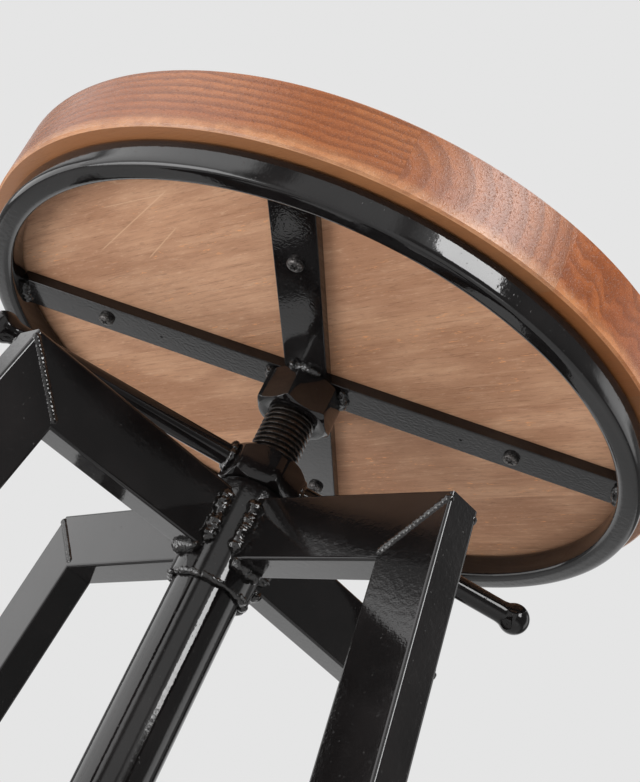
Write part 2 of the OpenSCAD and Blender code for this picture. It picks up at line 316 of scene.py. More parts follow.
@dataclass(frozen=True)
class GlossCoat:
    """Gloss black powder coat: a mirror skin with a faint orange peel, dust nibs and a few rubs."""

    name: str
    tone: Colour = (0.0052, 0.0045, 0.0045)
    dust: Colour = (0.05, 0.046, 0.042)
    roughness: float = 0.055
    peel_mm: float = 2.6
    peel_depth: float = 0.022
    ior: float = 1.52

    def material(self) -> bpy.types.Material:
        """The coat as a material."""
        s = Shader(self.name)
        cloud = s.noise(s.place, 34.0, 3.0)
        nibs = s.smooth(s.noise(s.place, 1.1, 1.0), 0.73, 0.80)
        rubs = s.smooth(s.noise(s.stretch(s.place, (0.06, 0.5, 0.5), 0.4), 1.0, 3.0, 0.6), 0.60, 0.72)
        peel = s.noise(s.place, self.peel_mm, 1.0) + 0.35 * s.noise(s.place, 0.7, 0.0)
        tone = s.mix(self.tone, tuple(2.0 * c for c in self.tone), s.smooth(cloud, 0.4, 0.75))
        return s.finish(
            base_color=s.mix(tone, self.dust, nibs * 0.3),
            roughness=self.roughness + 0.03 * cloud + 0.06 * rubs + 0.2 * nibs,
            normal=s.bump(peel + nibs * 2, self.peel_depth),
            ior=self.ior,
        )


@dataclass(frozen=True)
class BurntCoat:
    """The same coat over weld beads: it runs thick in the dips and glints on every small lump."""

    name: str
    tone: Colour = (0.0058, 0.0048, 0.0044)
    scorch: Colour = (0.10, 0.070, 0.045)
    roughness: float = 0.04
    ior: float = 1.6

    def material(self) -> bpy.types.Material:
        """The coat as a material."""
        s = Shader(self.name)
        lumps = s.noise(s.place, 1.9, 2.0, 0.5)
        grit = s.noise(s.place, 0.7, 1.0)
        scale = s.smooth(s.noise(s.place, 0.9, 2.0), 0.64, 0.74)
        return s.finish(
            base_color=s.mix(self.tone, self.scorch, scale * 0.3),
            roughness=self.roughness + 0.15 * scale,
            normal=s.bump(lumps + 0.2 * grit, 0.40),
            ior=self.ior,
        )


@dataclass(frozen=True)
class OiledThread:
    """Black oxide on the lead screw, oiled in the roots and rubbed on the crests."""

    name: str
    crest_mm: float
    rub_mm: float = 0.35
    oxide: Colour = (0.006, 0.005, 0.0045)
    oiled: Colour = (0.018, 0.013, 0.010)
    steel: Colour = (0.060, 0.052, 0.047)

    def material(self) -> bpy.types.Material:
        """The thread's finish as a material."""
        s = Shader(self.name)
        rub = s.smooth(s.radius(), self.crest_mm - self.rub_mm, self.crest_mm)
        grease = s.noise(s.place, 2.6, 3.0, 0.6)
        worn = rub * s.smooth(grease, 0.42, 0.7)
        tone = s.mix(self.oxide, self.oiled, grease)
        return s.finish(
            base_color=s.mix(tone, self.steel, worn * 0.5),
            roughness=0.14 + 0.16 * grease,
            metallic=0.2,
            normal=s.bump(grease + s.noise(s.place, 0.5, 1.0), 0.05),
        )


@dataclass(frozen=True)
class PlatedScrew:
    """Black zinc on the wood screws, rubbed bright by the driver."""

    name: str
    plated: Colour = (0.06, 0.056, 0.054)
    bright: Colour = (0.30, 0.28, 0.27)

    def material(self) -> bpy.types.Material:
        """The plating as a material."""
        s = Shader(self.name)
        rubbed = s.noise(s.place, 0.7, 3.0, 0.65)
        return s.finish(
            base_color=s.mix(self.plated, self.bright, s.smooth(rubbed, 0.45, 0.75)),
            roughness=0.26 + 0.3 * rubbed,
            metallic=0.8,
            normal=s.bump(rubbed, 0.03),
        )


@dataclass(frozen=True)
class ZincPlate:
    """Bright zinc with a fine turned grain and a faint bloom."""

    name: str
    plated: Colour = (0.55, 0.55, 0.54)
    bloomed: Colour = (0.68, 0.66, 0.58)

    def material(self) -> bpy.types.Material:
        """The plating as a material."""
        s = Shader(self.name)
        rings = s.noise(s.node("ShaderNodeCombineXYZ", None, {0: s.radius()}), 0.12, 1.0)
        bloom = s.noise(s.place, 5.0, 4.0, 0.6)
        return s.finish(
            base_color=s.mix(self.plated, self.bloomed, bloom),
            roughness=0.24 + 0.2 * bloom,
            metallic=1.0,
            normal=s.bump(rings, 0.01),
        )


@dataclass(frozen=True)
class MouldedPlastic:
    """Moulded plastic with a spark-eroded texture and scuffs."""

    name: str
    tone: Colour
    roughness: float
    texture_mm: float = 0.5

    def material(self) -> bpy.types.Material:
        """The plastic as a material."""
        s = Shader(self.name)
        grain = s.noise(s.place, self.texture_mm, 2.0)
        scuffs = s.smooth(s.noise(s.stretch(s.place, (0.2, 1.0, 1.0)), 2.4, 4.0, 0.65), 0.56, 0.72)
        return s.finish(
            base_color=s.mix(self.tone, tuple(min(1.0, 1.5 * c + 0.02) for c in self.tone), scuffs * 0.6),
            roughness=self.roughness + 0.12 * scuffs,
            normal=s.bump(grain, 0.03),
        )


@dataclass(frozen=True)
class Scratch:
    """A straight scratch on the seat's underside, in millimetres and degrees."""

    middle: tuple[float, float]
    heading: float
    reach: float
    core: float = 0.10
    edge: float = 0.42
    fade: float = 6.0

    def mark(self, s: Shader, x: Value, y: Value) -> Value:
        """Where the scratch shows, from 0 to 1."""
        heading = math.radians(self.heading)
        dx, dy = x - self.middle[0], y - self.middle[1]
        aside = (dy * math.cos(heading) - dx * math.sin(heading)).size()
        onward = (dx * math.cos(heading) + dy * math.sin(heading)).size()
        fading = s.smooth(onward, self.reach, self.reach - self.fade)
        return s.smooth(aside, self.edge, self.core) * fading


@dataclass(frozen=True)
class Grain:
    """Noise drawn out along the board: its fineness along and across, its start and its finer layers."""

    along: float
    across: float
    start: Point = (0, 0, 0)
    detail: float = 3.0
    rough: float = 0.5

    def over(self, s: Shader, board: Value) -> Value:
        """The noise on a board's coordinates."""
        place = s.stretch(board, (self.along, self.across, self.across), 0, self.start)
        return s.noise(place, 1.0, self.detail, self.rough)


GRAINS = {
    "drift": Grain(0.008, 0.03, detail=1.0),
    "waver": Grain(0.022, 0.05, (7, 3, 1), 2.0),
    "fibre": Grain(0.05, 2.0, rough=0.6),
    "streak": Grain(0.028, 0.42, (2, 8, 4), rough=0.65),
    "vessel": Grain(0.2, 1.1, (1, 5, 9), 2.0, 0.7),
    "cloud": Grain(0.014, 0.04, (5, 1, 2)),
    "short": Grain(0.13, 0.75, (9, 3, 7), rough=0.75),
    "line": Grain(0.045, 1.25, (3, 3, 1), rough=0.7),
    "patch": Grain(0.02, 0.06, (2, 2, 2), 2.0),
    "fleck": Grain(0.13, 0.6, (4, 4, 4), rough=0.7),
}


@dataclass(frozen=True)
class Tint:
    """A colour that shows, by a share, where a grain rises (or falls) from low to high."""

    grain: str
    low: float
    high: float
    share: float
    colour: Colour

    def cover(self, s: Shader, grains: dict[str, Value]) -> Value:
        """How much of the tint shows, from 0 to its share."""
        return s.smooth(grains[self.grain], self.low, self.high) * self.share


STAIN = (0.268, 0.080, 0.023)
LIGHTER_STAIN = Tint("cloud", 0.4, 0.7, 1.0, (0.335, 0.112, 0.034))
LATE_WOOD = (0.118, 0.032, 0.009)
STAIN_TINTS = (
    Tint("streak", 0.5, 0.72, 0.45, (0.145, 0.040, 0.012)),
    Tint("fibre", 0.52, 0.75, 0.35, (0.40, 0.165, 0.075)),
)
VESSELS = (0.11, 0.038, 0.017)
THIN_STAIN = (0.33, 0.148, 0.062)
# Paler tone of the rim's lower edge: partly rubbed wear, partly painted light where the rounded edge
# catches light from below.
WORN_AND_LIT_STAIN = (0.58, 0.29, 0.140)
BARE_WOOD = (0.62, 0.345, 0.205)
BARE_TINTS = (
    Tint("cloud", 0.36, 0.64, 1.0, (0.46, 0.232, 0.128)),
    Tint("streak", 0.46, 0.70, 0.38, (0.38, 0.185, 0.098)),
    Tint("streak", 0.46, 0.28, 0.25, (0.72, 0.46, 0.30)),
    Tint("short", 0.54, 0.72, 0.45, (0.25, 0.115, 0.060)),
    Tint("line", 0.58, 0.66, 0.4, (0.24, 0.105, 0.052)),
    Tint("short", 0.44, 0.30, 0.35, (0.78, 0.52, 0.35)),
)
FLECKS = (0.85, 0.40, 0.17)
SCRATCHED = (0.82, 0.56, 0.36)


@dataclass(frozen=True)
class BoardCut:
    """Stained and varnished board: growth rings about a heart line along the board, in millimetres.

    The rings are a solid pattern, so long grain, end grain and the flat faces agree with each other.
    """

    name: str
    turn: float
    underside_mm: float
    bare_radius_mm: float
    edge_radius_mm: float
    heart: tuple[float, float]
    ring_mm: float
    shift: float
    swirl: float
    contrast: float
    warmth: float
    shade: float
    scratches: tuple[Scratch, ...] = ()
    drift_mm: float = 8.0
    under_mm: tuple[float, float] = (0.15, 0.35)
    bare_blur_mm: float = 0.6
    # How high, how far in and how patchy the paler lower edge of the rim reaches: partly wear, partly
    # painted light.
    wear_and_light_up_mm: tuple[float, float] = (0.9, 7.0)
    wear_and_light_in_mm: tuple[float, float] = (0.8, 1.3)
    wear_and_light_size_mm: float = 9.0

    def material(self) -> bpy.types.Material:
        """The board as a material."""
        s = Shader(self.name)
        board = s.stretch(s.place, (1, 1, 1), self.turn, (self.shift, 0, 0))
        grains = {name: grain.over(s, board) for name, grain in GRAINS.items()}
        grains["vessel"] = s.smooth(grains["vessel"], 0.57, 0.70)
        grains["late"] = self._late(s, board, grains)
        x, y, z = s.parts(s.place)
        radius = s.radius()
        near, far = self.under_mm
        under = s.smooth(z, self.underside_mm + far, self.underside_mm + near)
        blur = self.bare_blur_mm
        bare = under * s.smooth(radius, self.bare_radius_mm + blur, self.bare_radius_mm - blur)
        fibre = grains["fibre"]
        tone = self._stained(s, grains)
        tone = s.mix(tone, self._toned(THIN_STAIN), under * (0.45 + 0.55 * fibre))
        # Paler lower edge of the rim: partly rubbed wear, partly painted light from below.
        tone = self._worn_and_lit(s, tone, radius, z)
        relief = fibre + 0.4 * grains["streak"] + 0.1 * grains["late"] - 0.5 * grains["vessel"]
        return s.finish(
            base_color=s.mix(tone, self._sanded(s, grains, x, y), bare),
            roughness=0.14 + 0.24 * fibre + 0.34 * bare + 0.16 * under,
            normal=s.bump(relief, 0.10),
            ior=1.49,
        )

    def _late(self, s: Shader, board: Value, grains: dict[str, Value]) -> Value:
        """The dark late wood of the growth rings, from 0 to 1."""
        _, across, height = s.parts(board)
        off_across = across - self.heart[0] + self.drift_mm * (grains["drift"] - 0.5)
        off_height = height - self.underside_mm - self.heart[1] + self.swirl * (grains["waver"] - 0.5)
        ring = (off_across * off_across + off_height * off_height) ** 0.5 / self.ring_mm
        phase = ring.fraction()
        return s.smooth(phase, 0.15, 0.80) * s.smooth(phase, 1.0, 0.86)

    def _stained(self, s: Shader, grains: dict[str, Value]) -> Value:
        """The colour where the stain and the varnish are."""
        lighter = LIGHTER_STAIN.cover(s, grains)
        tone = s.mix(self._toned(STAIN), self._toned(LIGHTER_STAIN.colour), lighter)
        cloud = s.smooth(grains["cloud"], 0.25, 0.7)
        late = grains["late"] * (0.55 + 0.45 * cloud) * self.contrast
        tone = s.mix(tone, self._toned(LATE_WOOD), late)
        for tint in STAIN_TINTS:
            tone = s.mix(tone, self._toned(tint.colour), tint.cover(s, grains))
        return s.mix(tone, self._toned(VESSELS), grains["vessel"] * 0.45)

    def _worn_and_lit(self, s: Shader, tone: Value, radius: Value, z: Value) -> Value:
        """The colour with the rim paler towards its lower edge: partly rubbed wear, partly painted light
        where the rounded edge catches light from below.
        """
        near, far = self.wear_and_light_up_mm
        low = s.smooth(z, self.underside_mm + far, self.underside_mm + near)
        near, far = self.wear_and_light_in_mm
        rim = s.smooth(radius, self.edge_radius_mm - far, self.edge_radius_mm - near)
        broken = s.smooth(s.noise(s.place, self.wear_and_light_size_mm, 4.0, 0.65), 0.38, 0.64)
        return s.mix(tone, self._toned(WORN_AND_LIT_STAIN), low * rim * (0.35 + 0.3 * broken))

    def _sanded(self, s: Shader, grains: dict[str, Value], x: Value, y: Value) -> Value:
        """The colour of the bare underside, with orange flecks and scratches."""
        tone: Any = self._bare(BARE_WOOD)
        for tint in BARE_TINTS:
            tone = s.mix(tone, self._bare(tint.colour), tint.cover(s, grains))
        patch = s.smooth(grains["patch"], 0.50, 0.62)
        fleck = s.smooth(grains["fleck"], 0.60, 0.66)
        tone = s.mix(tone, self._bare(FLECKS), fleck * patch * 0.7)
        for scratch in self.scratches:
            tone = s.mix(tone, SCRATCHED, scratch.mark(s, x, y) * (0.15 + 0.5 * grains["short"]))
        return tone

    def _bare(self, colour: Colour) -> Colour:
        """A colour of the unstained wood, which varies little from board to board."""
        red, green, blue = (self.shade * c for c in colour)
        return (red, green * (1 - 0.02 * self.warmth), blue * (1 - 0.06 * self.warmth))

    def _toned(self, colour: Colour) -> Colour:
        """A colour with this board's own warmth and shade."""
        red, green, blue = (self.shade * c for c in colour)
        warm = self.warmth
        return (red * (1 + 0.12 * warm), green * (1 - 0.08 * warm), blue * (1 - 0.30 * warm))


# --------------------------------------------------------------- mesh helpers


@dataclass(frozen=True)
class Span:
    """What a frame node measures, in metres, and the direction that it lies in from the axis."""

    low: Vector
    high: Vector
    inner: float
    outer: float
    heading: float

    @classmethod
    def of(cls, node: str) -> "Span":
        """Measures a node."""
        points = [v.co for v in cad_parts[node].data.vertices]
        radii = [math.hypot(p.x, p.y) for p in points]
        low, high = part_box(node)
        middle = (low + high) / 2
        return cls(low, high, min(radii), max(radii), math.atan2(middle.y, middle.x))


def settle(piece: bpy.types.Object) -> bpy.types.Object:
    """Turns a piece and its modifiers into one plain mesh."""
    depsgraph = bpy.context.evaluated_depsgraph_get()
    depsgraph.update()
    solid = bpy.data.meshes.new_from_object(piece.evaluated_get(depsgraph))
    piece.modifiers.clear()
    piece.data = solid
    solid.name = piece.name
    return piece


def new_piece(name: str, build: bmesh.types.BMesh, finish: bpy.types.Material) -> bpy.types.Object:
    """Makes an object from a bmesh, smooth except at its sharp edges.

    Args:
        name: the piece's name.
        build: the shape, which is freed.
        finish: the piece's material.

    Returns:
        The object, linked to the scene.
    """
    bmesh.ops.remove_doubles(build, verts=build.verts, dist=1e-7)
    bmesh.ops.recalc_face_normals(build, faces=build.faces)
    mesh = bpy.data.meshes.new(name)
    build.to_mesh(mesh)
    build.free()
    mesh.materials.append(finish)
    mesh.shade_smooth()
    mesh.set_sharp_from_angle(angle=math.radians(28))
    piece = bpy.data.objects.new(name, mesh)
    bpy.context.scene.collection.objects.link(piece)
    return piece


def loft(build: bmesh.types.BMesh, rings: Iterable[Sequence[Vector]], closed: bool = False) -> None:
    """Joins rings of points that have the same count.

    Args:
        build: the shape that is added to.
        rings: the rings, in order.
        closed: whether the last ring joins the first; otherwise both ends get a face.
    """
    rows = [[build.verts.new(p) for p in ring] for ring in rings]
    count = len(rows[0])
    pairs = list(zip(rows, rows[1:])) + ([(rows[-1], rows[0])] if closed else [])
    for lower, upper in pairs:
        for i in range(count):
            j = (i + 1) % count
            build.faces.new((lower[i], lower[j], upper[j], upper[i]))
    if not closed:
        build.faces.new(list(reversed(rows[0])))
        build.faces.new(rows[-1])


def lathe(profile: Sequence[tuple[float, float]], place: Matrix, count: int = 64) -> list[list[Vector]]:
    """Rings of a turned shape.

    Args:
        profile: (distance along, radius) pairs, in metres.
        place: puts the turning axis, +Z, where it belongs.
        count: points in a ring.

    Returns:
        The rings, for loft.
    """
    angles = [TURN * i / count for i in range(count)]
    circle = [(math.cos(a), math.sin(a)) for a in angles]
    return [[place @ Vector((r * c, r * s, z)) for c, s in circle] for z, r in profile]


def polylines(name: str, lines: Iterable[Sequence[Vector]], closed: bool = False) -> bpy.types.Mesh:
    """A mesh of bare edges that a recipe turns into curves.

    Args:
        name: the mesh's name.
        lines: the points of each line.
        closed: whether each line joins up.

    Returns:
        The mesh.
    """
    points: list[Vector] = []
    edges: list[tuple[int, int]] = []
    for line in lines:
        first = len(points)
        points.extend(line)
        edges.extend((i, i + 1) for i in range(first, len(points) - 1))
        if closed:
            edges.append((len(points) - 1, first))
    mesh = bpy.data.meshes.new(name)
    mesh.from_pydata(points, edges, [])
    return mesh


def straight(start: Vector, end: Vector, count: int = 12) -> list[Vector]:
    """Evenly spaced points from start to end."""
    return [start.lerp(end, i / (count - 1)) for i in range(count)]


def turns(count: int = 4, start: float = 0.0) -> list[Matrix]:
    """Evenly spaced turns about the stool's axis, the first by start."""
    return [Matrix.Rotation(start + TURN * i / count, 4, "Z") for i in range(count)]


def circle_points(radius: float, z: float, count: int = 96) -> list[Vector]:
    """Points of a level circle about the axis."""
    return [turn @ Vector((radius, 0, z)) for turn in turns(count)]


def crosswise(turn: Matrix, radius: float, half: float, z: float) -> list[Vector]:
    """Points of a level line square to a turned X axis.

    Args:
        turn: the axis's turn.
        radius: how far along the axis the line crosses it.
        half: half the line's length.
        z: the line's height.

    Returns:
        The points.
    """
    return straight(turn @ Vector((radius, -half, z)), turn @ Vector((radius, half, z)))


def hand_over(piece: bpy.types.Object, body: str, slot: str, *nodes: str) -> None:
    """Rides a piece on its body and lets it stand for its frame nodes.

    Args:
        piece: the finished piece.
        body: the frame body that it moves with.
        slot: not used.
        nodes: the frame nodes that it replaces.
    """
    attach(piece, body)
    if nodes:
        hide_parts(*nodes)
    LOG.info("%s on %s, %d faces", piece.name, body, len(piece.data.polygons))


def dress(finish: bpy.types.Material, *nodes: str) -> None:
    """Gives frame nodes a material."""
    for name in nodes:
        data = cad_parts[name].data
        for i in range(max(1, len(data.materials))):
            if i < len(data.materials):
                data.materials[i] = finish
            else:
                data.materials.append(finish)
    LOG.info("%s on %s", finish.name, ", ".join(nodes))


# -------------------------------------------------------------------- recipes


class BeadStyle(Enum):
    """How a weld bead was laid."""

    ROUGH = {"ripple": 2.3 * MM, "depth": 0.05, "lump": 0.62, "lump_size": 3.4}
    EVEN = {"ripple": 1.7 * MM, "depth": 0.20, "lump": 0.12, "lump_size": 3.0}


@dataclass
class WeldBead:
    """The recipe of a weld bead along a line: ripples, lumps and rounded ends."""

    finish: bpy.types.Material
    resample_mm: float = 0.45
    sides: int = 18
    end_ease: float = 0.94
    swell_fineness: float = 0.22
    fine_fineness: float = 1.1
    swell: float = 1.1
    lumps: float = 1.6
    fine: float = 0.55
    ripple_drift: float = 0.4 * MM
    recipe: Recipe = field(init=False)

    def __post_init__(self) -> None:
        """Builds the tree."""
        sizes = {
            "Radius": 3 * MM,
            "Ripple": 1.5 * MM,
            "Depth": 0.1,
            "Lump": 0.2,
            "Lump Size": 2.5,
            "Seed": 0.0,
            "Open": 1.0,
        }
        r = self.recipe = Recipe("weld_bead", sizes, self.finish)
        line = r.node("GeometryNodeMeshToCurve", None, {0: r.given("Geometry")})
        spacing = {"Curve": line, "Length": self.resample_mm * MM}
        line = r.node("GeometryNodeResampleCurve", {"mode": "LENGTH"}, spacing)
        drift = r.vector("SCALE", r.node("GeometryNodeInputPosition"))
        r.feed(drift.socket.node.inputs["Scale"], 1 / MM)
        seed = r.given("Seed")
        shift = r.node("ShaderNodeCombineXYZ", None, {0: seed, 1: seed * 1.7})
        drift = r.vector("ADD", drift, shift)
        ring = r.node("GeometryNodeCurvePrimitiveCircle", None, {"Resolution": self.sides, "Radius": 1.0})
        sweep = {"Curve": line, "Profile Curve": ring, "Scale": self._scale(drift), "Fill Caps": True}
        tube = r.node("GeometryNodeCurveToMesh", None, sweep)
        push = r.vector("SCALE", r.node("GeometryNodeInputNormal"))
        r.feed(push.socket.node.inputs["Scale"], self._lumps(drift))
        r.close(r.node("GeometryNodeSetPosition", None, {"Geometry": tube, "Offset": push}))

    def _scale(self, drift: Value) -> Value:
        """The bead's radius along its line, rippled, and rounded at its ends."""
        r = self.recipe
        radius = r.given("Radius")
        length = r.node("GeometryNodeSplineParameter", out="Length")
        whole = r.node("GeometryNodeSplineLength", out="Length")
        to_end = r.maths("MINIMUM", length, whole - length)
        near = r.maths("MINIMUM", to_end / radius, 1.0)
        rounded = (1 - (1 - near) * (1 - near) * self.end_ease) ** 0.5
        taper = 1 - r.given("Open") * (1 - rounded)
        swell = self._noise(drift, self.swell_fineness, 1.0)
        swell = 1 + r.given("Lump") * self.swell * (swell - 0.5)
        wave = ((length + swell * self.ripple_drift) / r.given("Ripple")).fraction()
        crest = 1 - (wave - 0.35).size() * 1.4
        return radius * taper * swell * (1 + r.given("Depth") * (crest - 0.6))

    def _lumps(self, drift: Value) -> Value:
        """How far each point is pushed out of the bead."""
        r = self.recipe
        lumps = self._noise(drift, 1 / r.given("Lump Size"), 2.0)
        fine = self._noise(drift, self.fine_fineness, 1.0)
        return r.given("Radius") * r.given("Lump") * (self.lumps * (lumps - 0.5) + self.fine * (fine - 0.5))

    def _noise(self, place: Value, fineness: Any, detail: float) -> Value:
        """Smooth noise about 0.5."""
        sockets = {"Vector": place, "Scale": fineness, "Detail": detail}
        return self.recipe.node("ShaderNodeTexNoise", None, sockets)

    def lay(
        self,
        name: str,
        lines: Sequence[Sequence[Vector]],
        radius: float,
        style: BeadStyle,
        seed: float,
        closed: bool = False,
    ) -> bpy.types.Object:
        """Lays beads along lines.

        Args:
            name: the piece's name.
            lines: the beads' centre lines.
            radius: the beads' radius, in metres.
            style: how they were laid.
            seed: what makes their lumps differ.
            closed: whether each bead joins up.

        Returns:
            The beads as one piece.
        """
        ends = {"radius": radius, "seed": seed, "open": 0.0 if closed else 1.0}
        return self.recipe.grow(name, polylines(name, lines, closed), **style.value, **ends)


# ----------------------------------------------------------------- assemblies


@dataclass
class SeatTop:
    """The five boards of the round seat."""

    boards: int = 5
    hearts: tuple[tuple[float, float], ...] = ((-128, 330), (-99, 10), (24, 150), (74, -240), (128, 300))
    ring_sizes: tuple[float, ...] = (3.8, 7.0, 8.5, 5.2, 4.2)
    swirls: tuple[float, ...] = (4.5, 5.0, 38.0, 12.0, 4.0)
    contrasts: tuple[float, ...] = (0.66, 0.55, 0.55, 0.6, 0.7)
    warmths: tuple[float, ...] = (0.0, 0.0, 0.6, 0.1, 0.0)
    shades: tuple[float, ...] = (1.0, 0.98, 0.95, 1.02, 0.98)
    scratches: tuple[Scratch, ...] = (
        Scratch((5, -120), 4, 22),
        Scratch((-7, -110), -16, 38),
        Scratch((-3, -95), -20, 19),
    )

    def build(self) -> None:
        """Dresses each board in its own cut of the wood."""
        turn = Span.of("board_1").heading + math.pi / 2
        ring = Span.of("seat_ring")
        board = Span.of("board_3")
        for i in range(self.boards):
            cut = BoardCut(
                name=f"stained_board_{i + 1}",
                turn=turn,
                underside_mm=board.low.z / MM,
                bare_radius_mm=ring.outer / MM - 2,
                edge_radius_mm=board.outer / MM,
                heart=self.hearts[i],
                ring_mm=self.ring_sizes[i],
                shift=137.0 * i,
                swirl=self.swirls[i],
                contrast=self.contrasts[i],
                warmth=self.warmths[i],
                shade=self.shades[i],
                scratches=self.scratches if i < 2 else (),
            )
            dress(cut.material(), f"board_{i + 1}")


@dataclass
class HexNut:
    """A chamfered hexagon nut about the stool's axis, in the place of a nut of the frame."""

    node: str
    turn: float
    chamfer: float
    across_flats: float = 32 * MM
    corner_ease: float = 0.35 * MM
    face_ease: float = 0.3 * MM
    edge_ease: float = 0.4 * MM
    steps: int = 12

    def build(self, name: str, finish: bpy.types.Material) -> bpy.types.Object:
        """Makes the nut.

        Args:
            name: the piece's name.
            finish: its material.

        Returns:
            The nut, with eased edges.
        """
        span = Span.of(self.node)
        count = 6 * self.steps
        angles = [TURN * i / count for i in range(count)]
        flat = self.across_flats / 2 - self.face_ease
        reach = self._corner() - flat
        rings = []
        for z, sign in ((span.low.z, 1), (span.high.z, -1)):
            inner = [self._at(a, span.inner, z) for a in angles]
            rim = [self._at(a, flat, z) for a in angles]
            cone = []
            for a in angles:
                r = self._outline(a)
                cone.append(self._at(a, r, z + sign * self.chamfer * max(0.0, r - flat) / reach))
            rings.append((inner, rim, cone))
        (in_low, rim_low, cone_low), (in_high, rim_high, cone_high) = rings
        build = bmesh.new()
        loft(build, [in_low, rim_low, cone_low, cone_high, rim_high, in_high], closed=True)
        piece = new_piece(name, build, finish)
        bevel = piece.modifiers.new("eased", "BEVEL")
        bevel.width = self.edge_ease
        bevel.segments = 3
        bevel.limit_method = "ANGLE"
        bevel.angle_limit = math.radians(24)
        settle(piece)
        piece.data.shade_smooth()
        piece.data.set_sharp_from_angle(angle=math.radians(35))
        return piece

    def _corner(self) -> float:
        """How far a sharp corner of the hexagon is from its middle."""
        return self.across_flats / 2 / math.cos(TURN / 12)

    def _outline(self, angle: float) -> float:
        """The hexagon's radius in a direction, its corners slightly rounded."""
        sixth = TURN / 6
        off = (angle + sixth / 2) % sixth - sixth / 2
        return min(self.across_flats / 2 / math.cos(off), self._corner() - self.corner_ease)

    def _at(self, angle: float, radius: float, z: float) -> Vector:
        """A point of the nut."""
        a = angle + self.turn
        return Vector((radius * math.cos(a), radius * math.sin(a), z))


